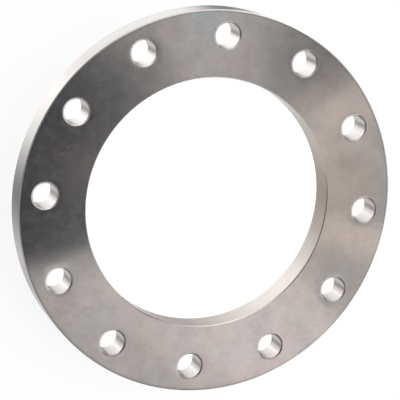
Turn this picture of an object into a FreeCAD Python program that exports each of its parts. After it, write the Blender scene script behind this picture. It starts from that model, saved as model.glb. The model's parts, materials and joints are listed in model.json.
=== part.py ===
import FreeCAD, Part
import os
import Sketcher

# A plate flange for a 219.1 mm steel pipe: a flat ring, turned all over, with twelve
# bolt holes drilled through it. It lies on its back face at Z = 0, and its axis is Z.

# Sizes in millimetres. All edge breaks are at 45 degrees, on both faces.
SIZES = {
    "outside_diameter": 340.0,
    "plate_thickness": 26.0,
    "bore_diameter": 221.5,  # the pipe passes through with 1.2 mm to spare all round
    "bolt_count": 12,
    "bolt_edge_distance": 22.5,  # rim to the holes' centres: a 295 mm bolt circle
    "bolt_hole_diameter": 22.0,  # lets a 20 mm bolt through
    "rim_break": 1.0,
    "bore_break": 0.8,
    "hole_break": 1.0,
}
SHEET = "Sizes"
FULL_TURN = 360.0
HALF_TURN = 180.0
VOLUME_MATCH = 1e-6  # volumes that should agree differ by less than this share
ORIGIN = (-1, 1)  # a sketch's own origin, as a point of its constraints


def size(alias):
    # How an expression names a size of the sheet.
    return f"<<{SHEET}>>.{alias}"


def half(alias):
    return size(alias) + " / 2"


def add_sheet(doc):
    sheet = doc.addObject("Spreadsheet::Sheet", SHEET)
    for row, (alias, value) in enumerate(SIZES.items(), start=1):
        sheet.set(f"A{row}", alias)
        sheet.set(f"B{row}", str(value))
        sheet.setAlias(f"B{row}", alias)
    doc.recompute()


def origin_feature(body, role):
    for feature in body.Origin.OriginFeatures:
        if feature.Role == role:
            return feature
    raise ValueError("the body's origin has no " + role)


def add_section(body, name, corners):
    # A closed outline on the upright XZ plane. Sketch X runs outwards from the flange's
    # axis and sketch Y runs up along it. Line n goes from corner n to the next corner.
    sketch = body.newObject("Sketcher::SketchObject", name)
    sketch.AttachmentSupport = [(origin_feature(body, "XZ_Plane"), "")]
    sketch.MapMode = "FlatFace"
    points = [FreeCAD.Vector(across, up, 0) for across, up in corners]
    nexts = [(line + 1) % len(points) for line in range(len(points))]
    for point, after in zip(points, nexts):
        sketch.addGeometry(Part.LineSegment(point, points[after]), False)
    for line, after in enumerate(nexts):
        sketch.addConstraint(Sketcher.Constraint("Coincident", line, 2, after, 1))
    return sketch


def align(sketch, direction, lines):
    for line in lines:
        sketch.addConstraint(Sketcher.Constraint(direction, line))


def bind(sketch, name, direction, start, end, expression):
    # Ties the distance between two points to the sheet. A point is (line, 1) for the
    # start of a line and (line, 2) for its end.
    step = sketch.getPoint(*end) - sketch.getPoint(*start)
    distance = step.x if direction == "DistanceX" else step.y
    constraint = Sketcher.Constraint(direction, *start, *end, distance)
    sketch.renameConstraint(sketch.addConstraint(constraint), name)
    sketch.setExpression("Constraints." + name, expression)


def bind_break(sketch, name, line, alias):
    # An edge break at 45 degrees goes as far across as up.
    for direction, axis in (("DistanceX", 0), ("DistanceY", 1)):
        ends = [(line, 1), (line, 2)]
        ends.sort(key=lambda end: sketch.getPoint(*end)[axis])
        bind(sketch, name + direction, direction, ends[0], ends[1], size(alias))


def turn_ring(body):
    # The blank as it leaves the lathe: its section, turned about the flange's axis.
    rim = SIZES["outside_diameter"] / 2
    bore = SIZES["bore_diameter"] / 2
    front = SIZES["plate_thickness"]
    rim_break = SIZES["rim_break"]
    bore_break = SIZES["bore_break"]
    corners = [
        (bore + bore_break, 0),
        (rim - rim_break, 0),
        (rim, rim_break),
        (rim, front - rim_break),
        (rim - rim_break, front),
        (bore + bore_break, front),
        (bore, front - bore_break),
        (bore, bore_break),
    ]
    back_face, back_rim_edge, rim_wall, front_rim_edge = range(4)
    front_face, front_bore_edge, bore_wall, back_bore_edge = range(4, 8)

    section = add_section(body, "RingSection", corners)
    align(section, "Horizontal", [back_face, front_face])
    align(section, "Vertical", [rim_wall, bore_wall])
    section.addConstraint(Sketcher.Constraint("PointOnObject", back_face, 1, -1))
    rise = ((back_face, 1), (front_face, 1))
    bind(section, "thickness", "DistanceY", *rise, size("plate_thickness"))
    bind(section, "rimRadius", "DistanceX", ORIGIN, (rim_wall, 1), half("outside_diameter"))
    bind(section, "boreRadius", "DistanceX", ORIGIN, (bore_wall, 1), half("bore_diameter"))
    bind_break(section, "backRimEdge", back_rim_edge, "rim_break")
    bind_break(section, "frontRimEdge", front_rim_edge, "rim_break")
    bind_break(section, "frontBoreEdge", front_bore_edge, "bore_break")
    bind_break(section, "backBoreEdge", back_bore_edge, "bore_break")

    ring = body.newObject("PartDesign::Revolution", "TurnedRing")
    ring.Profile = section
    ring.ReferenceAxis = (section, ["V_Axis"])
    ring.Angle = FULL_TURN
    section.Visibility = False
    return ring


def drill_first_hole(body):
    # One bolt hole, with its edge breaks, cut by turning half its section about its own
    # axis. It stands half a hole spacing from X, so that the holes straddle X and Y.
    centre = SIZES["outside_diameter"] / 2 - SIZES["bolt_edge_distance"]
    wall = centre + SIZES["bolt_hole_diameter"] / 2
    front = SIZES["plate_thickness"]
    hole_break = SIZES["hole_break"]
    corners = [
        (centre, 0),
        (wall + hole_break, 0),
        (wall, hole_break),
        (wall, front - hole_break),
        (wall + hole_break, front),
        (centre, front),
    ]
    back_mouth, back_edge, hole_wall, front_edge, front_mouth, hole_axis = range(6)

    section = add_section(body, "HoleSection", corners)
    axis_ends = [FreeCAD.Vector(centre, 0, 0), FreeCAD.Vector(centre, front, 0)]
    centre_line = section.addGeometry(Part.LineSegment(*axis_ends), True)
    section.addConstraint(Sketcher.Constraint("Coincident", centre_line, 1, back_mouth, 1))
    section.addConstraint(Sketcher.Constraint("Coincident", centre_line, 2, front_mouth, 2))
    align(section, "Horizontal", [back_mouth, front_mouth])
    align(section, "Vertical", [hole_wall, hole_axis])
    section.addConstraint(Sketcher.Constraint("PointOnObject", back_mouth, 1, -1))
    rise = ((centre_line, 1), (centre_line, 2))
    bind(section, "thickness", "DistanceY", *rise, size("plate_thickness"))
    circle_radius = half("outside_diameter") + " - " + size("bolt_edge_distance")
    bind(section, "circleRadius", "DistanceX", ORIGIN, (centre_line, 1), circle_radius)
    reach = ((centre_line, 1), (hole_wall, 1))
    bind(section, "holeRadius", "DistanceX", *reach, half("bolt_hole_diameter"))
    bind_break(section, "backEdge", back_edge, "hole_break")
    bind_break(section, "frontEdge", front_edge, "hole_break")

    half_spacing = HALF_TURN / SIZES["bolt_count"]
    turned = FreeCAD.Rotation(FreeCAD.Vector(0, 1, 0), half_spacing)
    section.AttachmentOffset = FreeCAD.Placement(FreeCAD.Vector(), turned)
    spacing = f"{HALF_TURN} deg / " + size("bolt_count")
    section.setExpression("AttachmentOffset.Rotation.Angle", spacing)

    hole = body.newObject("PartDesign::Groove", "FirstBoltHole")
    hole.Profile = section
    hole.ReferenceAxis = (section, ["Axis0"])
    hole.Angle = FULL_TURN
    section.Visibility = False
    return hole


def repeat_hole(body, hole):
    holes = body.newObject("PartDesign::PolarPattern", "BoltHoles")
    holes.Originals = [hole]
    holes.Axis = (origin_feature(body, "Z_Axis"), [""])
    holes.Angle = FULL_TURN
    holes.setExpression("Occurrences", size("bolt_count"))
    body.Tip = holes
    return holes


def check(doc, body, ring, hole, holes):
    for item in doc.Objects:
        if "Invalid" in item.State or "Error" in item.State:
            raise RuntimeError(item.Label + " failed to recompute")
    if body.Shape.isNull() or not body.Shape.isValid():
        raise RuntimeError(body.Label + " has no valid shape")
    if len(body.Shape.Solids) != 1:
        raise RuntimeError(body.Label + " is not one solid")
    one_hole = ring.Shape.Volume - hole.Shape.Volume
    all_holes = ring.Shape.Volume - holes.Shape.Volume
    expected = one_hole * SIZES["bolt_count"]
    if one_hole <= 0 or abs(all_holes - expected) > VOLUME_MATCH * expected:
        raise RuntimeError("the bolt holes did not take out the volume that they should")


def main():
    doc = FreeCAD.newDocument("PlateFlange")
    add_sheet(doc)
    body = doc.addObject("PartDesign::Body", "PlateFlange")
    body.Label = "plate_flange"
    body.Placement = FreeCAD.Placement()
    ring = turn_ring(body)
    hole = drill_first_hole(body)
    holes = repeat_hole(body, hole)
    doc.recompute()
    check(doc, body, ring, hole, holes)
    os.makedirs("parts", exist_ok=True)
    body.Shape.exportStep(os.path.join("parts", body.Label + ".step"))
    print(f"{body.Label}: {body.Shape.Volume:.1f} cubic mm, {body.Shape.BoundBox}")


main()
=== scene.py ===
import json
import math
import bmesh
import bpy
import numpy as np
from mathutils import Matrix, Vector


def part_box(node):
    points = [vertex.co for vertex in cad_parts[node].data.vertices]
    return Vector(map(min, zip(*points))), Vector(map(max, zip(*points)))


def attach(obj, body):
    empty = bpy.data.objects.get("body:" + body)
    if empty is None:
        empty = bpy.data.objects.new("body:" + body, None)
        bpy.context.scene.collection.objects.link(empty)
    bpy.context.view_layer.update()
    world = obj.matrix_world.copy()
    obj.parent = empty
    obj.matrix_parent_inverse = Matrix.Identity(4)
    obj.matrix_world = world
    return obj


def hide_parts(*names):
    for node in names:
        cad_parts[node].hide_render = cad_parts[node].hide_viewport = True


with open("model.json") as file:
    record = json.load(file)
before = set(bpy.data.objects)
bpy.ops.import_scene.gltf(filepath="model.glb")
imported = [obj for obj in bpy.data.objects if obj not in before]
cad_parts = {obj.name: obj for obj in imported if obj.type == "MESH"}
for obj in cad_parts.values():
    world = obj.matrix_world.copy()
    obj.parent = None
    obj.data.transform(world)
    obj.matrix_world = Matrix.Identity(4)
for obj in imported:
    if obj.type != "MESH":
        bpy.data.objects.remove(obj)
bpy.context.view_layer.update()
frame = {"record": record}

mm = 0.001  # lengths are written in millimetres and used in metres
fullTurn = 2 * math.pi

# The studio's own directions are the photo's: x to the right, y up, z out of the flange's
# front face. They are turned from the part's about its axis, as the bolt holes show.
studioTurn = -8.22
studio = Matrix.Rotation(math.radians(studioTurn), 4, "Z")


# An sRGB hex colour as the linear colour that Blender's sockets take: a channel near black is
# divided by 12.92, and any other goes to the power of 2.4 after a small shift.
def linear(code):
    channels = [int(code[k:k + 2], 16) / 255 for k in (1, 3, 5)]
    bent = [c / 12.92 if c <= 0.04045 else ((c + 0.055) / 1.055) ** 2.4 for c in channels]
    return (*bent, 1.0)


# Adds a node with its settings, and gives its sockets numbers or links to other nodes' sockets.
# A socket goes by its name, or by its number where a node has several of one name.
def addNode(tree, kind, settings=None, inputs=None):
    node = tree.nodes.new("ShaderNode" + kind)
    for name, value in (settings or {}).items():
        setattr(node, name, value)
    for name, value in (inputs or {}).items():
        socket = node.inputs[name]
        if isinstance(value, bpy.types.NodeSocket):
            tree.links.new(value, socket)
        else:
            socket.default_value = value
    return node


# A material or world with an empty node tree.
def startTree(block):
    block.use_nodes = True
    block.node_tree.nodes.clear()
    return block.node_tree


cornerDepth = 0.01 * mm  # how far below the front face a corner still counts as on it


# The flange's sizes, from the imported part: its box, its mounts and the corners of its front face.
# A flat edge's radius is the greatest or least distance of those corners from the axis, and a
# hole's mouth is their least distance from the hole's centre.
def readSizes():
    low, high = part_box("plate_flange")
    mounts = {mount["name"]: mount["dims"] for mount in frame["record"]["mounts"]}
    mesh = bpy.data.objects["plate_flange"].data
    points = np.empty(len(mesh.vertices) * 3)
    mesh.vertices.foreach_get("co", points)
    x, y, z = points.reshape(-1, 3).T
    onFace = z > high.z - cornerDepth
    corners = (x + 1j * y)[onFace]
    count = mounts["bolt_holes"]["count"]
    circleRadius = mounts["bolt_holes"]["pcd_mm"] / 2 * mm
    firstHole = circleRadius * np.exp(1j * math.pi / count)
    return {
        "thickness": high.z - low.z,
        "rimRadius": high.x,
        "rimFlat": np.abs(corners).max(),
        "boreRadius": mounts["bore"]["r_mm"] * mm,
        "boreFlat": np.abs(corners).min(),
        "holeCount": count,
        "circleRadius": circleRadius,
        "holeRadius": mounts["bolt_holes"]["hole_r_mm"] * mm,
        "mouthRadius": np.abs(corners - firstHole).min(),
    }


size = readSizes()

flange = {
    "stepsRoundHole": (16, 16, 16, 16, 16),  # half rim arc, side, bore arc, side, half rim arc
    "faceRings": 6,  # from a sector's edge to its hole's mouth
    "wallRings": 4,  # down a wall, between its edge breaks
    "shoulder": 0.45 * mm,  # how far from a hole's edge break its face begins to roll over
    "shoulderSteps": 5,
    "sharpAngle": 30.0,  # degrees between two quads from which their edge is shaded sharp
    "weldDistance": 0.001 * mm,  # corners of two patches that lie closer than this become one
}


# Turns a grid's points into quads: cell (i, j) takes corners (i, j), (i, j+1), (i+1, j+1), (i+1, j).
def gridQuads(rows, columns):
    index = np.arange(rows * columns).reshape(rows, columns)
    quads = [index[:-1, :-1], index[:-1, 1:], index[1:, 1:], index[1:, :-1]]
    return np.stack(quads, axis=-1).reshape(-1, 4)


# A profile of (radius, height) pairs turned round an upright axis: centre + radius * (cos, sin).
def revolve(centre, profile, angles):
    radius, height = np.asarray(profile, float).T[:, :, None]
    x = centre[0] + radius * np.cos(angles)
    y = centre[1] + radius * np.sin(angles)
    return np.stack([x, y, np.broadcast_to(height, x.shape)], axis=-1)


# Points evenly spaced up a wall between two corners of a profile.
def wallProfile(radius, start, end):
    return [(radius, height) for height in np.linspace(start, end, flange["wallRings"] + 1)]


# A hole's front edge, from the face down: an arc that leaves the face level and meets the
# 45 degree break, then the break itself. An arc that touches two lines a distance s from their
# corner has a radius (bend) of s / tan(half their turn).
def holeEdge(front, break45):
    reach = flange["shoulder"]
    turn = math.pi / 4
    tilts = np.linspace(0, turn, flange["shoulderSteps"] + 1)
    bend = reach / math.tan(turn / 2)
    radii = size["mouthRadius"] + reach - bend * np.sin(tilts)
    heights = front - bend * (1 - np.cos(tilts))
    return [*zip(radii, heights), (size["holeRadius"], front - break45)]


# One twelfth of a face: straight lines from the sector's edge to the mouth of its hole,
# point = edge + (mouth - edge) * share, with as many points round the edge as round the mouth.
def faceSector(edge, mouth, height):
    share = np.linspace(0, 1, flange["faceRings"] + 1)[:, None]
    flat = edge + (mouth - edge) * share
    return np.stack([flat.real, flat.imag, np.full(flat.shape, height)], axis=-1)


# A sector's edge and its hole's mouth, matched step by step, as complex numbers for the
# first sector's own direction: the edge runs out to the rim, along a side and along the bore.
def sectorOutlines():
    corner = np.cumsum((0,) + flange["stepsRoundHole"])
    step = np.arange(corner[-1] + 1)
    rim, bore = size["rimFlat"], size["boreFlat"]
    halfSector = fullTurn / size["holeCount"] / 2
    edgeRadius = np.interp(step, corner, [rim, rim, bore, bore, rim, rim])
    edgeAngle = np.interp(step, corner, np.array([0, 1, 1, -1, -1, 0]) * halfSector)
    edge = edgeRadius * np.exp(1j * edgeAngle)
    toCorner = np.angle(edge[corner[1:3]] - size["circleRadius"])
    back = fullTurn - toCorner
    mouthAngle = np.interp(step, corner, [0, toCorner[0], toCorner[1], back[1], back[0], fullTurn])
    mouthRadius = size["mouthRadius"] + flange["shoulder"]
    mouth = size["circleRadius"] + mouthRadius * np.exp(1j * mouthAngle)
    return edge, mouth, mouthAngle


# The flange's surfaces as (grid, finish, axis): the axis is the x and y that it is turned about.
def flangePatches():
    front = size["thickness"]
    axis = (0.0, 0.0)
    edge, mouth, mouthAngle = sectorOutlines()
    holeRadius = size["holeRadius"]
    holeBreak = size["mouthRadius"] - holeRadius
    frontEdge = holeEdge(front, holeBreak)
    wall = wallProfile(holeRadius, front - holeBreak, holeBreak)
    backEdge = [(radius, front - height) for radius, height in reversed(frontEdge)]
    patches = []
    for hole in range(size["holeCount"]):
        toHole = fullTurn / size["holeCount"] * (hole + 0.5)
        turned = np.exp(1j * toHole)
        patches.append((faceSector(edge * turned, mouth * turned, front), "facedSteel", axis))
        patches.append((faceSector(edge * turned, mouth * turned, 0.0)[::-1], "facedSteel", axis))
        centre = size["circleRadius"] * np.array([math.cos(toHole), math.sin(toHole)])
        patches.append((revolve(centre, frontEdge, mouthAngle + toHole), "countersunkSteel", centre))
        patches.append((revolve(centre, wall, mouthAngle + toHole), "drilledSteel", centre))
        patches.append((revolve(centre, backEdge, mouthAngle + toHole), "countersunkSteel", centre))

    # The rim, from the back up, and the bore, from the front down.
    rimRadius, rimFlat = size["rimRadius"], size["rimFlat"]
    boreRadius, boreFlat = size["boreRadius"], size["boreFlat"]
    rimBreak = rimRadius - rimFlat
    boreBreak = boreFlat - boreRadius
    rimSteps = 2 * flange["stepsRoundHole"][0] * size["holeCount"]
    boreSteps = flange["stepsRoundHole"][2] * size["holeCount"]
    rimAngles = np.linspace(0, fullTurn, rimSteps + 1)
    boreAngles = np.linspace(0, fullTurn, boreSteps + 1)
    backRim = [(rimFlat, 0.0), (rimRadius, rimBreak)]
    rimWall = wallProfile(rimRadius, rimBreak, front - rimBreak)
    frontRim = [(rimRadius, front - rimBreak), (rimFlat, front)]
    frontBore = [(boreFlat, front), (boreRadius, front - boreBreak)]
    boreWall = wallProfile(boreRadius, front - boreBreak, boreBreak)
    backBore = [(boreRadius, boreBreak), (boreFlat, 0.0)]
    patches.append((revolve(axis, backRim, rimAngles), "filedSteel", axis))
    patches.append((revolve(axis, rimWall, rimAngles), "turnedSteel", axis))
    patches.append((revolve(axis, frontRim, rimAngles), "filedSteel", axis))
    patches.append((revolve(axis, frontBore, boreAngles), "scrapedSteel", axis))
    patches.append((revolve(axis, boreWall, boreAngles), "boredSteel", axis))
    patches.append((revolve(axis, backBore, boreAngles), "scrapedSteel", axis))
    return patches


# Joins the patches into one closed mesh, with a material slot for each finish. Its UV map
# holds, at each corner of a quad, the way there from the patch's axis: x and y less the axis.
def meshFromPatches(name, patches, materials):
    points, quads, slots, ways = [], [], [], []
    count = 0
    order = list(materials)
    for grid, finish, axis in patches:
        cells = gridQuads(*grid.shape[:2])
        spots = grid.reshape(-1, 3)
        points.append(spots)
        quads.append(cells + count)
        slots.append(np.full(len(cells), order.index(finish)))
        ways.append((spots[:, :2] - axis)[cells].reshape(-1, 2))
        count += len(spots)
    mesh = bpy.data.meshes.new(name)
    mesh.from_pydata(np.concatenate(points).tolist(), [], np.concatenate(quads).tolist())
    mesh.polygons.foreach_set("material_index", np.concatenate(slots).astype(np.int32))
    mesh.uv_layers.new(name="fromAxis").data.foreach_set("uv", np.concatenate(ways).ravel())
    for material in materials.values():
        mesh.materials.append(material)
    merged = bmesh.new()
    merged.from_mesh(mesh)
    bmesh.ops.remove_doubles(merged, verts=merged.verts, dist=flange["weldDistance"])
    openEdges = sum(not edge.is_manifold for edge in merged.edges)
    volume = merged.calc_volume(signed=True)
    merged.to_mesh(mesh)
    merged.free()
    slot = np.empty(len(mesh.polygons), np.int32)
    mesh.polygons.foreach_get("material_index", slot)
    rounded = slot != order.index("facedSteel")  # the faces are flat, and stay so beside a shoulder
    mesh.polygons.foreach_set("use_smooth", rounded)
    mesh.set_sharp_from_angle(angle=math.radians(flange["sharpAngle"]))
    mesh.update()
    piece = bpy.data.objects.new(name, mesh)
    bpy.context.scene.collection.objects.link(piece)
    print(f"{name}: {len(mesh.polygons)} quads, {openEdges} open edges, {volume / mm ** 3:.0f} cubic mm")
    return piece


# Pits, bright specks and fine scratches on the faces, as long and wide as they say and turned by
# so many degrees: one in each cell of spacing times its size, in that share of the cells. shade
# is what it adds to the colour, as a share.
faceFlecks = [
    {"length": 0.8 * mm, "width": 0.8 * mm, "spacing": 22, "turn": 0, "share": 0.40, "shade": -0.25},
    {"length": 0.7 * mm, "width": 0.7 * mm, "spacing": 26, "turn": 40, "share": 0.30, "shade": 0.20},
    {"length": 8.0 * mm, "width": 0.4 * mm, "spacing": 12, "turn": 25, "share": 0.12, "shade": 0.10},
    {"length": 6.0 * mm, "width": 0.4 * mm, "spacing": 12, "turn": 115, "share": 0.10, "shade": -0.10},
]

# Bare carbon steel, finished seven ways. pink and green: the metal's colour where a film of oil
# and air has stained it one way or the other. warm: its colour where oil has browned it. dust:
# the share of the metal that a dull film of oxide takes, which lightens the dark reflections a
# little. across and along: how rough it is across and along the tool's marks. marks: what a mark
# keeps the same, its radius or its height. feed: spacing of the marks, which run on for streak
# times as far; the real feed is about 0.3 mm, too fine to show, so it is drawn coarser. wide:
# spacing of the bands they gather in. grain and patch: size of the small and large stains. The
# shades are shares of the colour, and the depths are heights of the bump. Then the painted light
# and shade: how much darker the face's last line before the rim is painted; and how much lighter
# or darker the colour is painted by direction from the surface's own axis, standing in for
# lighter and darker reflections and for shadow, as (degrees, share of its colour), and for the
# holes, which differ, also by direction from the flange's axis.
finishes = {
    # Faced on the lathe: rings round the bore, which smear each reflection along the radius.
    "facedSteel": {
        "pink": "#c5bbb6",
        "green": "#bfbcb8",
        "warm": "#ccbdb1",
        "dust": 0.17,
        "across": 0.10,
        "along": 0.015,
        "marks": "radius",
        "feed": 1.6 * mm,
        "streak": 12.0,
        "wide": 9.0 * mm,
        "grain": 2.6 * mm,
        "patch": 20.0 * mm,
        "feedShade": 0.06,
        "wideShade": 0.04,
        "grainShade": 0.08,
        "patchShade": 0.52,
        "feedDepth": 0.0012 * mm,
        "wideDepth": 0.004 * mm,
        # painted shade: a dark line painted on the face's last line before the rim
        "paintedRimShade": 0.20,
        "flecks": faceFlecks,
        "ring": [],
        "paintedLightRoundAxis": [],
    },
    # Turned along the rim: lines that run round the edge, light and dark.
    "turnedSteel": {
        "pink": "#cac0bd",
        "green": "#c0c1bd",
        "warm": "#cac0bd",
        "dust": 0.04,
        "across": 0.03,
        "along": 0.015,
        "marks": "height",
        "feed": 1.2 * mm,
        "streak": 20.0,
        "wide": 7.0 * mm,
        "grain": 2.5 * mm,
        "patch": 22.0 * mm,
        "feedShade": 0.14,
        "wideShade": 0.22,
        "grainShade": 0.06,
        "patchShade": 0.16,
        "feedDepth": 0.0012 * mm,
        "wideDepth": 0.002 * mm,
        "paintedRimShade": 0.0,
        "flecks": [],
        "ring": [],
        # painted shade on the rim wall, by direction round the axis
        "paintedLightRoundAxis": [(-180, 0.92), (-172, 1.00), (157, 1.00), (167, 0.84), (177, 0.86)],
    },
    # Bored out with a longer tool: softer reflections and warmer stains, with painted light and shade round
    # the bore.
    "boredSteel": {
        "pink": "#dccfc8",
        "green": "#d8d1cb",
        "warm": "#d9c9bc",
        "dust": 0.08,
        "across": 0.16,
        "along": 0.11,
        "marks": "height",
        "feed": 1.2 * mm,
        "streak": 12.0,
        "wide": 8.0 * mm,
        "grain": 2.5 * mm,
        "patch": 26.0 * mm,
        "feedShade": 0.10,
        "wideShade": 0.12,
        "grainShade": 0.08,
        "patchShade": 0.20,
        "feedDepth": 0.0012 * mm,
        "wideDepth": 0.002 * mm,
        "paintedRimShade": 0.0,
        "flecks": [],
        "ring": [],
        # painted light and shade on the bore wall, by direction round the bore
        "paintedLightRoundAxis": [
            (-180, 1.00), (-150, 1.15), (-134, 1.15), (-106, 0.57), (-98, 0.60), (-70, 1.00), (-58, 1.00),
            (-40, 0.70), (-26, 0.68), (-4, 1.05), (24, 1.06), (52, 1.36), (90, 1.00), (180, 1.00),
        ],
    },
    # Drilled and reamed: bright, with faint rings down the wall of the hole.
    "drilledSteel": {
        "pink": "#dcd3cf",
        "green": "#d8d4d1",
        "warm": "#dcd3cf",
        "dust": 0.04,
        "across": 0.08,
        "along": 0.02,
        "marks": "height",
        "feed": 1.2 * mm,
        "streak": 8.0,
        "wide": 5.0 * mm,
        "grain": 1.5 * mm,
        "patch": 9.0 * mm,
        "feedShade": 0.10,
        "wideShade": 0.12,
        "grainShade": 0.06,
        "patchShade": 0.12,
        "feedDepth": 0.0008 * mm,
        "wideDepth": 0.001 * mm,
        "paintedRimShade": 0.0,
        "flecks": [],
        # painted light and shade on the hole walls, by the hole's place round the flange
        "ring": [
            (-180, 1.00), (-135, 0.95), (-75, 0.92), (-15, 0.93), (15, 1.02), (45, 1.12), (75, 1.20),
            (105, 1.20), (135, 1.15), (165, 1.03), (180, 1.00),
        ],
        # painted light and shade on the hole walls, by direction round each hole's own axis
        "paintedLightRoundAxis": [
            (-143, 0.85), (-113, 0.88), (-98, 0.72), (-68, 0.97), (-53, 0.97), (-38, 0.80), (-8, 1.15),
            (52, 1.10), (180, 1.00),
        ],
    },
    # Holes' edges, broken by a countersink: matt and scraped unevenly, with painted light and shade by
    # direction round each hole and by its place round the flange.
    "countersunkSteel": {
        "pink": "#ece4df",
        "green": "#e8e5e1",
        "warm": "#ece4df",
        "dust": 0.08,
        "across": 0.14,
        "along": 0.14,
        "marks": "height",
        "feed": 0.5 * mm,
        "streak": 4.0,
        "wide": 3.0 * mm,
        "grain": 1.5 * mm,
        "patch": 7.0 * mm,
        "feedShade": 0.10,
        "wideShade": 0.0,
        "grainShade": 0.15,
        "patchShade": 0.30,
        "feedDepth": 0.0,
        "wideDepth": 0.0,
        "paintedRimShade": 0.0,
        "flecks": [],
        # painted light and shade on the holes' edges, by the hole's place round the flange
        "ring": [
            (-180, 1.70), (-165, 1.25), (-135, 0.83), (-75, 0.80), (15, 1.02), (75, 1.20), (135, 1.80),
            (165, 1.85), (180, 1.70),
        ],
        # painted light and shade on the holes' edges, by direction round each hole's own axis
        "paintedLightRoundAxis": [
            (-160, 1.12), (-146, 0.64), (-131, 0.42), (-98, 0.80), (-68, 0.84), (-53, 0.74), (-8, 0.70),
            (7, 0.43), (52, 0.43), (67, 1.12),
        ],
    },
}

# The rim's and the bore's edges, broken by hand, with painted light and shade in places by direction round
# the axis.
finishes["filedSteel"] = {
    **finishes["countersunkSteel"],
    "ring": [],
    # painted light and shade on the rim's and the bore's edges, by direction round the axis
    "paintedLightRoundAxis": [
        (-180, 0.72), (-165, 0.50), (-126, 0.52), (-106, 0.28), (-83, 0.28), (-70, 0.80), (-38, 1.00),
        (-8, 0.38), (7, 0.40), (28, 0.66), (53, 1.20), (70, 1.15), (112, 0.60), (124, 0.46), (134, 0.50),
        (156, 1.15), (168, 1.08), (180, 0.72),
    ],
}
finishes["scrapedSteel"] = {
    **finishes["countersunkSteel"],
    "ring": [],
    # painted light and shade on the bore's edges, by direction round the axis
    "paintedLightRoundAxis": [
        (-180, 0.78), (-158, 1.10), (-128, 0.22), (-98, 1.20), (-68, 1.05), (-53, 0.48), (-44, 0.60),
        (-32, 0.94), (-20, 0.92), (-8, 0.74), (6, 1.18), (40, 1.12), (58, 1.20), (84, 1.14), (104, 0.68),
        (142, 0.60), (166, 0.70), (180, 0.78),
    ],
}
arcRadius = size["circleRadius"]  # where marks on a face are as long as they say
# The painted light and shade by direction, both together, make a colour at most this much brighter.
brightest = 1.15  # the most that patina and ring together make of a colour

# How the stains and smudges spread, the same on every finish. A seed picks one noise of many.
stainSpread = {
    "patchSeed": 4.0,
    "hueSeed": 0.5,
    "hueScale": 0.6,  # to the large stains' own scale: the change of hue is broader than they are
    "hueLevels": (0.35, 0.65),  # of the noise, where the hue is all green and all pink
    "smudgeScale": 0.45,  # to the small stains' own scale
    "filmLevels": (1.05, 0.78),  # of smudge and patch together, where the film begins and is full
    "roughness": (0.85, 1.15),  # shares of a finish's roughness where it is smoothest and roughest
}
# Painted shade: the face's dark line beside the rim, painted into its colour.
paintedRimLine = (1.8 * mm, 0.6 * mm)  # from a face's edge: where its line beside the rim begins and is full
fullSqueeze = 0.9  # the shader makes along / across equal to 1 - 0.9 * anisotropy

# Where oil has browned the metal, round one side of the bore's front edge.
warmStain = {"centre": (110.0 * mm, -14.0 * mm, 18.0 * mm), "reach": 68.0 * mm}


# Sparse marks: the nearness to a cell's point, from 1 at it to 0 at the mark's own edge, where
# the cell's random number is under the share.
def fleckMask(tree, place, fleck):
    turn = {"Vector": place, "Angle": math.radians(fleck["turn"])}
    turned = addNode(tree, "VectorRotate", {"rotation_type": "Z_AXIS"}, turn).outputs[0]
    shrink = (1 / fleck["length"], 1 / fleck["width"], 0)
    halfMark = 0.5 / fleck["spacing"]
    spot = addNode(tree, "VectorMath", {"operation": "MULTIPLY"}, {0: turned, 1: shrink}).outputs[0]
    cells = {"Vector": spot, "Scale": 1 / fleck["spacing"]}
    cell = addNode(tree, "TexVoronoi", {"voronoi_dimensions": "2D"}, cells)
    reach = {"Value": cell.outputs["Distance"], "From Min": halfMark, "From Max": 0.0}
    near = addNode(tree, "MapRange", {}, reach).outputs[0]
    chance = addNode(tree, "SeparateXYZ", {}, {0: cell.outputs["Color"]}).outputs["X"]
    picked = addNode(tree, "Math", {"operation": "LESS_THAN"}, {0: chance, 1: fleck["share"]}).outputs[0]
    return addNode(tree, "Math", {"operation": "MULTIPLY"}, {0: near, 1: picked}).outputs[0]


# A sum of terms, each a value times its weight, on top of a start value.
def weightedSum(tree, start, terms):
    total = start
    for value, weight in terms:
        step = {0: value, 1: weight, 2: total}
        total = addNode(tree, "Math", {"operation": "MULTIPLY_ADD"}, step).outputs[0]
    return total


# The level by direction round the upright axis: a colour ramp from -180 to 180 degrees, times
# the highest level, so that levels may pass 1.
def levelByDirection(tree, direction, stops):
    around = addNode(tree, "TexGradient", {"gradient_type": "RADIAL"}, {0: direction}).outputs["Fac"]
    ramp = addNode(tree, "ValToRGB", {}, {0: around})
    highest = max(level for degrees, level in stops)
    elements = ramp.color_ramp.elements
    while len(elements) < len(stops):
        elements.new(0.5)  # it gets its own place below
    for element, (degrees, level) in zip(elements, stops):
        element.position = degrees / 360 + 0.5
        element.color = (level / highest,) * 3 + (1,)
    scaled = {0: ramp.outputs["Color"], 1: highest}
    return addNode(tree, "Math", {"operation": "MULTIPLY"}, scaled).outputs[0]
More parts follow.
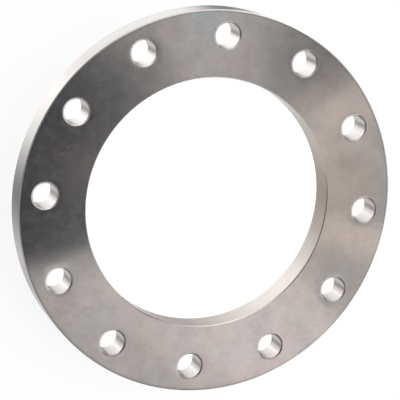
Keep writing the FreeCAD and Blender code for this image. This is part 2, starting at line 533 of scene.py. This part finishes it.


# A finish as a material: its colour is the stains' hue times the shade of all its marks, with painted
# shade by the rim and painted light and shade by direction, on metal whose highlights are wide across
# the tool's marks and narrow along them.
def steel(name, look):
    material = bpy.data.materials.new(name)
    tree = startTree(material)
    place = addNode(tree, "TexCoord").outputs["Object"]

    # Where a point is along its mark, and across the marks.
    if look["marks"] == "radius":
        flat = addNode(tree, "VectorMath", {"operation": "MULTIPLY"}, {0: place, 1: (1, 1, 0)}).outputs[0]
        row = addNode(tree, "VectorMath", {"operation": "LENGTH"}, {0: flat}).outputs["Value"]
        acrossMarks = addNode(tree, "VectorMath", {"operation": "NORMALIZE"}, {0: flat}).outputs[0]
        onArc = {0: acrossMarks, "Scale": arcRadius}
        along = addNode(tree, "VectorMath", {"operation": "SCALE"}, onArc).outputs[0]
    else:
        row = addNode(tree, "SeparateXYZ", {}, {0: place}).outputs["Z"]
        acrossMarks = addNode(tree, "CombineXYZ", {}, {"Z": 1.0}).outputs[0]
        along = addNode(tree, "VectorMath", {"operation": "MULTIPLY"}, {0: place, 1: (1, 1, 0)}).outputs[0]
    toWorld = {"vector_type": "VECTOR", "convert_from": "OBJECT", "convert_to": "WORLD"}
    tangent = addNode(tree, "VectorTransform", toWorld, {0: acrossMarks}).outputs[0]
    packed = addNode(tree, "Math", {"operation": "MULTIPLY"}, {0: row, 1: look["streak"]}).outputs[0]
    across = addNode(tree, "CombineXYZ", {}, {"Z": packed}).outputs[0]
    streakPlace = addNode(tree, "VectorMath", {"operation": "ADD"}, {0: along, 1: across}).outputs[0]

    # The tool's marks in streaks and bands, and the stains that lie over them.
    streaks = {"Vector": streakPlace, "Scale": 1 / (look["feed"] * look["streak"]), "Detail": 2.0}
    bands = {"W": row, "Scale": 1 / look["wide"], "Detail": 2.0}
    grains = {"Vector": place, "Scale": 1 / look["grain"], "Detail": 3.0, "Roughness": 0.6}
    clouds = {"Vector": place, "Scale": 1 / look["patch"], "Detail": 4.0, "Roughness": 0.7}
    clouds["W"] = stainSpread["patchSeed"]
    hueScale = stainSpread["hueScale"] / look["patch"]
    stains = {"Vector": place, "Scale": hueScale, "Detail": 3.0, "Roughness": 0.5}
    stains["W"] = stainSpread["hueSeed"]
    smudgeScale = stainSpread["smudgeScale"] / look["grain"]
    smudges = {"Vector": place, "Scale": smudgeScale, "Detail": 2.0, "Roughness": 0.6}
    feedMarks = addNode(tree, "TexNoise", {}, streaks).outputs[0]
    wideMarks = addNode(tree, "TexNoise", {"noise_dimensions": "1D"}, bands).outputs[0]
    grain = addNode(tree, "TexNoise", {}, grains).outputs[0]
    patches = addNode(tree, "TexNoise", {"noise_dimensions": "4D"}, clouds).outputs[0]
    stain = addNode(tree, "TexNoise", {"noise_dimensions": "4D"}, stains).outputs[0]
    smudge = addNode(tree, "TexNoise", {}, smudges).outputs[0]

    # The colour: between green and pink by the stain, then lighter or darker by every mark.
    green, pink = linear(look["green"]), linear(look["pink"])
    allGreen, allPink = stainSpread["hueLevels"]
    between = {"Value": stain, "From Min": allGreen, "From Max": allPink}
    side = addNode(tree, "MapRange", {}, between).outputs[0]
    hue = addNode(tree, "Mix", {"data_type": "RGBA"}, {0: side, 6: green, 7: pink}).outputs[2]
    apart = {0: place, 1: warmStain["centre"]}
    away = addNode(tree, "VectorMath", {"operation": "DISTANCE"}, apart).outputs["Value"]
    fade = {"Value": away, "From Min": warmStain["reach"], "From Max": 0.0}
    nearStain = addNode(tree, "MapRange", {"interpolation_type": "SMOOTHSTEP"}, fade).outputs[0]
    browned = {0: nearStain, 6: hue, 7: linear(look["warm"])}
    hue = addNode(tree, "Mix", {"data_type": "RGBA"}, browned).outputs[2]
    terms = [
        (feedMarks, look["feedShade"]),
        (wideMarks, look["wideShade"]),
        (grain, look["grainShade"]),
        (patches, look["patchShade"]),
    ]
    unshaded = 1.0 - sum(share for mark, share in terms) / 2  # noise is a half on average
    terms += [(fleckMask(tree, place, fleck), fleck["shade"]) for fleck in look["flecks"]]
    shade = weightedSum(tree, unshaded, terms)
    # Painted shade: the face's last line before the rim is painted darker.
    if look["paintedRimShade"]:
        start, full = (size["rimFlat"] - inside for inside in paintedRimLine)
        nearRim = {"Value": row, "From Min": start, "From Max": full}
        darker = {"To Min": 1.0, "To Max": 1.0 - look["paintedRimShade"]}
        paintedRimDark = addNode(tree, "MapRange", {}, {**nearRim, **darker}).outputs[0]
        shade = addNode(tree, "Math", {"operation": "MULTIPLY"}, {0: shade, 1: paintedRimDark}).outputs[0]
    # Painted light and shade: the colour is made lighter or darker by direction round the surface's own
    # axis, and on the holes also by their place round the flange.
    if look["paintedLightRoundAxis"]:
        fromAxis = addNode(tree, "UVMap", {"uv_map": "fromAxis"}).outputs[0]
        paintedLight = levelByDirection(tree, fromAxis, look["paintedLightRoundAxis"])
        if look["ring"]:
            paintedRoundFlange = levelByDirection(tree, place, look["ring"])
            both = addNode(tree, "Math", {"operation": "MULTIPLY"}, {0: paintedLight, 1: paintedRoundFlange}).outputs[0]
            paintedLight = addNode(tree, "Math", {"operation": "MINIMUM"}, {0: both, 1: brightest}).outputs[0]
        shade = addNode(tree, "Math", {"operation": "MULTIPLY"}, {0: shade, 1: paintedLight}).outputs[0]
    colour = addNode(tree, "VectorMath", {"operation": "SCALE"}, {0: hue, "Scale": shade}).outputs[0]

    # The shader's roughness and anisotropy for the wanted widths: its roughness to the fourth power
    # is the widths across and along the marks multiplied.
    ratio = look["along"] / look["across"]
    roughness = math.sqrt(math.sqrt(look["across"] * look["along"]))
    anisotropic = (1 - ratio) / fullSqueeze
    smoothest, roughest = (share * roughness for share in stainSpread["roughness"])
    spread = {"Value": patches, "To Min": smoothest, "To Max": roughest}
    uneven = addNode(tree, "MapRange", {}, spread).outputs[0]

    # A film of dull oxide, in smudges where the stains are darkest.
    dark = addNode(tree, "Math", {"operation": "ADD"}, {0: smudge, 1: patches}).outputs[0]
    start, full = stainSpread["filmLevels"]
    film = {"Value": dark, "From Min": start, "From Max": full}
    left = {"To Min": 1.0, "To Max": 1.0 - look["dust"]}
    bare = addNode(tree, "MapRange", {}, {**film, **left}).outputs[0]

    # The bump: fine marks on broad bands, with their depths in millimetres.
    depths = [(wideMarks, look["wideDepth"] / mm), (feedMarks, look["feedDepth"] / mm)]
    relief = weightedSum(tree, 0.0, depths)
    bump = addNode(tree, "Bump", {}, {"Strength": 1.0, "Distance": mm, "Height": relief}).outputs[0]

    inputs = {
        "Base Color": colour,
        "Metallic": bare,
        "Roughness": uneven,
        "Anisotropic": anisotropic,
        "Tangent": tangent,
        "Normal": bump,
    }
    shader = addNode(tree, "BsdfPrincipled", {}, inputs).outputs[0]
    addNode(tree, "OutputMaterial", {}, {"Surface": shader})
    return material


materials = {name: steel(name, look) for name, look in finishes.items()}
plateFlange = meshFromPatches("plateFlange", flangePatches(), materials)
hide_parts("plate_flange")
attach(plateFlange, "root")
print("flange made")

# The camera, in the studio's directions: places and lens in millimetres, roll in degrees. clipEnd
# is in metres.
view = {
    "place": (-620.9, 454.1, 1824.6),
    "target": (-8.0, 3.6, 26.0),
    "roll": 0.10,
    "lens": 202.27,
    "sensor": 36.0,
    "clipEnd": 100.0,
}


# A frame at a place, whose -z looks at the target, with the studio's y up in the picture.
def lookAt(place, target, roll):
    back = (Vector(place) - Vector(target)).normalized()
    right = Vector((0, 1, 0)).cross(back).normalized()
    up = back.cross(right)
    turn = Matrix((right, up, back)).transposed().to_4x4()
    spin = Matrix.Rotation(math.radians(roll), 4, "Z")
    return Matrix.Translation(Vector(place) * mm) @ turn @ spin


camera = bpy.data.objects.new("camera", bpy.data.cameras.new("camera"))
camera.data.lens = view["lens"]
camera.data.sensor_width = view["sensor"]
camera.data.clip_end = view["clipEnd"]
camera.matrix_world = studio @ lookAt(view["place"], view["target"], view["roll"])
bpy.context.scene.collection.objects.link(camera)
bpy.context.scene.camera = camera

# Soft boxes above the face: centre, size and turn in the studio's directions, in mm and degrees.
# level is their brightness as a share of white, added to what is behind them.
boxHeight = 374.0  # above the back face
softBoxes = {
    "lowerBox": {"centre": (159, -223), "size": (309, 159), "turn": -46, "level": 0.37, "colour": "#fff4f8"},
    "lowerStrip": {"centre": (122, -98), "size": (38, 274), "turn": 67, "level": 0.13, "colour": "#ffdec4"},
    "upperBox": {"centre": (137, 188), "size": (144, 47), "turn": 39, "level": 0.54, "colour": "#a2dbff"},
    "sideBox": {"centre": (231, -21), "size": (154, 71), "turn": 45, "level": 0.24, "colour": "#ffdfc8"},
    "smallBox": {"centre": (290, -138), "size": (35, 37), "turn": -50, "level": 1.16, "colour": "#ffe6d3"},
}
wattsPerLevel = 4.0  # a square metre of soft box at level 1 takes 4 W


# A place above the face, turned about the studio's z, as a matrix.
def hang(centre, height, turn):
    spot = Matrix.Translation(Vector((*centre, height)) * mm)
    return studio @ spot @ Matrix.Rotation(math.radians(turn), 4, "Z")


for name, box in softBoxes.items():
    width, depth = (side * mm for side in box["size"])
    lamp = bpy.data.lights.new(name, "AREA")
    lamp.shape = "RECTANGLE"
    lamp.size = width
    lamp.size_y = depth
    lamp.energy = box["level"] * width * depth * wattsPerLevel
    lamp.color = linear(box["colour"])[:3]
    light = bpy.data.objects.new(name, lamp)
    light.matrix_world = hang(box["centre"], boxHeight, box["turn"])
    light.visible_camera = False
    bpy.context.scene.collection.objects.link(light)

# Dark cards that the face mirrors, as a photographer hangs them, by their corners in mm. level is
# how bright a card looks, as a share of white.
cardHeight = 376.0  # behind the soft boxes, as the face sees them
cards = {
    "darkCard": {
        "corners": [(52, -115), (83, 82), (-1500, 485), (-1500, -473)],
        "level": 0.055,
        "colour": "#b6dcff",
    },
    "smallCard": {
        "corners": [(226, -4), (430, 121), (373, 214), (170, 88)],
        "level": 0.24,
        "colour": "#eaf5ff",
    },
}
for name, card in cards.items():
    material = bpy.data.materials.new(name)
    tree = startTree(material)
    inputs = {"Color": linear(card["colour"]), "Strength": card["level"]}
    glow = addNode(tree, "Emission", {}, inputs).outputs[0]
    addNode(tree, "OutputMaterial", {}, {"Surface": glow})
    mesh = bpy.data.meshes.new(name)
    corners = [(x * mm, y * mm, 0) for x, y in card["corners"]]
    mesh.from_pydata(corners, [], [tuple(range(len(corners)))])
    mesh.materials.append(material)
    sheet = bpy.data.objects.new(name, mesh)
    sheet.matrix_world = hang((0, 0), cardHeight, 0)
    sheet.visible_camera = False
    bpy.context.scene.collection.objects.link(sheet)

# The white tent round the flange: brightness by direction in the studio, as (degrees, level).
# The walls are what the rim, the bore and the holes mirror, below the flange's own plane. The
# skyline is what the broken edges mirror, just above it, and the roof is over the face.
tent = {
    "walls": [
        (-180, 0.95), (-160, 0.44), (-148, 0.31), (-122, 0.72), (-109, 0.84), (-96, 0.58), (-84, 0.64),
        (-25, 1.78), (-14, 1.58), (5, 0.28), (16, 0.14), (26, 0.42), (35, 1.32), (110, 1.34), (140, 1.70),
        (171, 1.26), (180, 0.95),
    ],
    "skyline": [
        (-180, 0.33), (-166, 0.34), (-148, 0.52), (-128, 0.58), (-85, 0.28), (-70, 0.28), (-60, 1.20),
        (15, 1.20), (26, 0.50), (36, 1.40), (46, 1.18), (56, 0.80), (70, 0.90), (90, 1.30), (110, 1.40),
        (124, 0.21), (150, 0.21), (180, 0.33),
    ],
    "roof": 0.62,
    "wallTops": (-10.0, -5.0),  # degrees above the flange's plane over which one gives way to the next
    "roofEdge": (24.0, 32.0),
}


# The tent as the world: with height, its level goes from the walls' to the skyline's and then to
# the roof's. The camera alone sees a plain white backdrop there.
def makeTent():
    world = bpy.data.worlds.new("whiteTent")
    bpy.context.scene.world = world
    tree = startTree(world)
    direction = addNode(tree, "TexCoord").outputs["Generated"]
    turn = {"Vector": direction, "Angle": math.radians(-studioTurn)}
    turned = addNode(tree, "VectorRotate", {"rotation_type": "Z_AXIS"}, turn).outputs[0]
    height = addNode(tree, "SeparateXYZ", {}, {0: direction}).outputs["Z"]
    level = levelByDirection(tree, turned, tent["walls"])
    skyline = levelByDirection(tree, turned, tent["skyline"])
    for span, above in ((tent["wallTops"], skyline), (tent["roofEdge"], tent["roof"])):
        low, high = (math.sin(math.radians(degrees)) for degrees in span)
        rise = {"Value": height, "From Min": low, "From Max": high}
        share = addNode(tree, "MapRange", {"interpolation_type": "SMOOTHSTEP"}, rise).outputs[0]
        level = addNode(tree, "Mix", {"data_type": "FLOAT"}, {0: share, 2: level, 3: above}).outputs[0]
    white = (1, 1, 1, 1)
    tentLight = addNode(tree, "Background", {}, {"Color": white, "Strength": level}).outputs[0]
    backdrop = addNode(tree, "Background", {}, {"Color": white, "Strength": 1.0}).outputs[0]
    seen = addNode(tree, "LightPath").outputs["Is Camera Ray"]
    mixed = addNode(tree, "MixShader", {}, {0: seen, 1: tentLight, 2: backdrop}).outputs[0]
    addNode(tree, "OutputWorld", {}, {"Surface": mixed})


makeTent()

floorLook = {
    "half": 3000.0 * mm,  # of its side
    "drop": 0.05 * mm,  # below the back face, so that the two never flicker through each other
    "paint": 0.30,  # how much of the light that falls on it comes back
    "glow": 0.85,  # this and the light on the paint are white together
    "middleGlow": 0.96,  # under the flange, where the bolt holes let little light in
    "middleFade": 4.0 * mm,  # inside the rim, over which one glow gives way to the other
}


# A light table: it glows through white paint, which takes the flange's soft shadow. Under the
# flange, up to its rim, it glows almost white by itself.
def makeFloor():
    half = floorLook["half"]
    down = -floorLook["drop"]
    mesh = bpy.data.meshes.new("floor")
    corners = [(-half, -half, down), (half, -half, down), (half, half, down), (-half, half, down)]
    mesh.from_pydata(corners, [], [(0, 1, 2, 3)])
    material = bpy.data.materials.new("whiteFloor")
    tree = startTree(material)
    paint = addNode(tree, "BsdfDiffuse", {}, {"Color": (floorLook["paint"],) * 3 + (1,)}).outputs[0]
    place = addNode(tree, "TexCoord").outputs["Object"]
    away = addNode(tree, "VectorMath", {"operation": "LENGTH"}, {0: place}).outputs["Value"]
    toRim = {"From Min": size["rimRadius"] - floorLook["middleFade"], "From Max": size["rimRadius"]}
    levels = {"To Min": floorLook["middleGlow"], "To Max": floorLook["glow"]}
    level = addNode(tree, "MapRange", {}, {"Value": away, **toRim, **levels}).outputs[0]
    glow = addNode(tree, "Emission", {}, {"Strength": level}).outputs[0]
    both = addNode(tree, "AddShader", {}, {0: paint, 1: glow}).outputs[0]
    addNode(tree, "OutputMaterial", {}, {"Surface": both})
    mesh.materials.append(material)
    floor = bpy.data.objects.new("floor", mesh)
    floor.visible_glossy = False  # the rim, the bore and the holes mirror the tent's walls instead
    bpy.context.scene.collection.objects.link(floor)


makeFloor()

bpy.context.scene.view_settings.view_transform = "Standard"
print("studio made")
